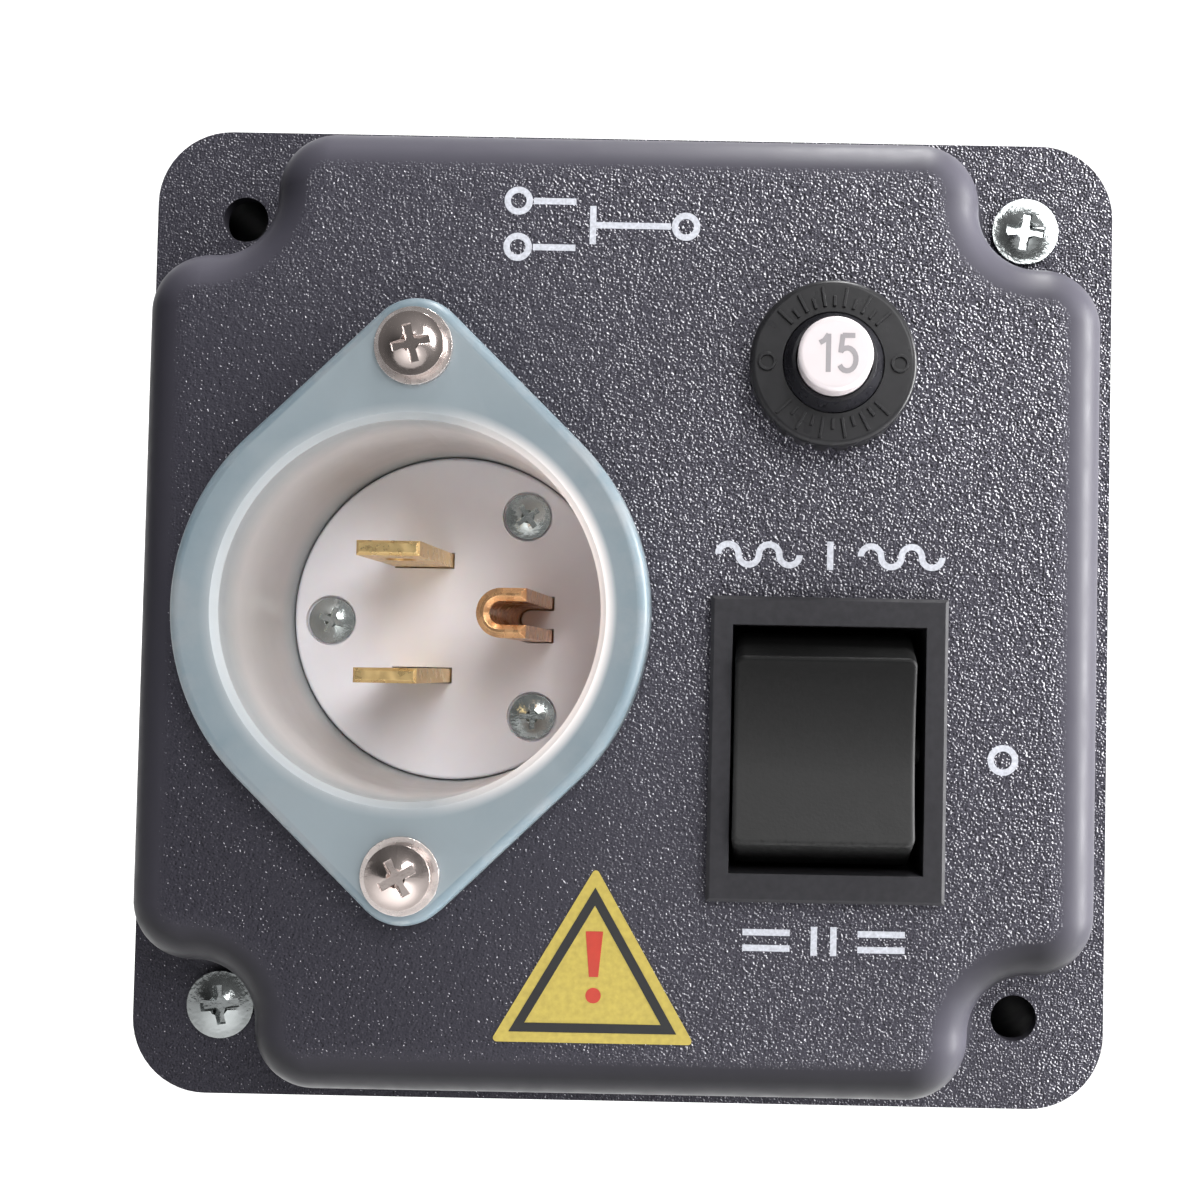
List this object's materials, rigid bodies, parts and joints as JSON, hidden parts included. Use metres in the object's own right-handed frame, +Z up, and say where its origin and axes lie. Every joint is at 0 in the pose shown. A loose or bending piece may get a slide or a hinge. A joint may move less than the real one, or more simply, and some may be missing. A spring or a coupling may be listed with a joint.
{
  "type": "manual transfer switch",
  "caption": "Square steel outlet box with a raised cover carrying a flanged power inlet, a three position rocker switch and a push-to-reset breaker.",
  "frame": {"origin": "middle of the box's back face, which lies on the wall", "axes": "+X to the right seen from the front, +Z up, +Y into the wall; the face looks along -Y"},
  "size_m": [0.102, 0.0761, 0.102],
  "materials": {
    "powder_coat": "charcoal textured powder coat",
    "zinc_steel": "zinc plated steel",
    "nickel_steel": "nickel plated steel",
    "green_screw": "green dyed steel",
    "nylon_white": "translucent white nylon",
    "disc_white": "warm white moulded plastic",
    "brass": "formed brass strip",
    "black_nylon": "matte black nylon",
    "rocker_black": "fine grained black nylon",
    "phenolic": "moulded phenolic",
    "button_white": "white moulded plastic",
    "spring_steel": "spring wire",
    "copper_contact": "copper alloy strip",
    "bimetal": "rolled bimetal strip",
    "wire_black": "stranded wire insulation",
    "wire_white": "stranded wire insulation",
    "wire_green": "stranded wire insulation",
    "wire_red": "stranded wire insulation",
    "sleeve_red": "vinyl insulated terminal",
    "nut_orange": "moulded twist-on connector",
    "sticker_yellow": "printed vinyl",
    "ink_black": "printed ink",
    "ink_red": "printed ink",
    "ink_white": "printed ink"
  },
  "bodies": {
    "base": {"box_body": "powder_coat", "box_ears": "zinc_steel", "cover_plate": "powder_coat", "cover_screws": "zinc_steel", "ground_screw": "green_screw", "inlet_flange": "nylon_white", "inlet_disc": "disc_white", "inlet_rear_body": "disc_white", "neutral_blade": "brass", "hot_blade": "brass", "ground_pin": "brass", "inlet_face_screws": "zinc_steel", "neutral_terminal_screw": "nickel_steel", "hot_terminal_screw": "brass", "ground_terminal_screw": "green_screw", "inlet_mount_screws": "nickel_steel", "inlet_mount_washers": "nickel_steel", "inlet_mount_nuts": "zinc_steel", "switch_housing": "black_nylon", "switch_common_terminals": "brass", "switch_throw_terminals": "brass", "breaker_body": "phenolic", "breaker_lid": "phenolic", "breaker_ring_nut": "black_nylon", "reset_spring": "spring_steel", "bimetal_strip": "bimetal", "breaker_terminals": "brass", "quick_connects": "sleeve_red", "ring_terminals": "zinc_steel", "wire_inlet_to_breaker": "wire_black", "wire_breaker_to_switch": "wire_black", "wire_inlet_neutral": "wire_white", "wire_ground": "wire_green", "wire_line_hot": "wire_black", "wire_line_neutral": "wire_white", "wire_load_hot": "wire_red", "wire_load_neutral": "wire_white", "wire_nuts": "nut_orange", "hazard_sticker": "sticker_yellow", "hazard_border": "ink_black", "hazard_mark": "ink_red", "printed_marks": "ink_white"},
    "rocker": {"rocker": "rocker_black", "switch_plungers": "disc_white", "plunger_springs": "spring_steel"},
    "contact_arms": {"contact_arms": "copper_contact"},
    "reset_button": {"reset_button": "button_white", "contact_bridge": "copper_contact"}
  },
  "joints": [
    {"name": "rocker_tilt", "type": "hinge", "parent": "base", "child": "rocker", "pos_m": [0.0209, -0.0635, -0.01315], "axis": [1, 0, 0], "range_deg": [-12, 12]},
    {"name": "contact_arm_tilt", "type": "hinge", "parent": "base", "child": "contact_arms", "pos_m": [0.0209, -0.0521, -0.01315], "axis": [1, 0, 0], "range_deg": [-5.5, 5.5]},
    {"name": "reset_travel", "type": "slide", "parent": "base", "child": "reset_button", "axis": [0, -1, 0], "range_m": [0, 0.003]}
  ],
  "couplings": [
    {"joint": "contact_arm_tilt", "follows": "rocker_tilt", "ratio": -0.45}
  ]
}
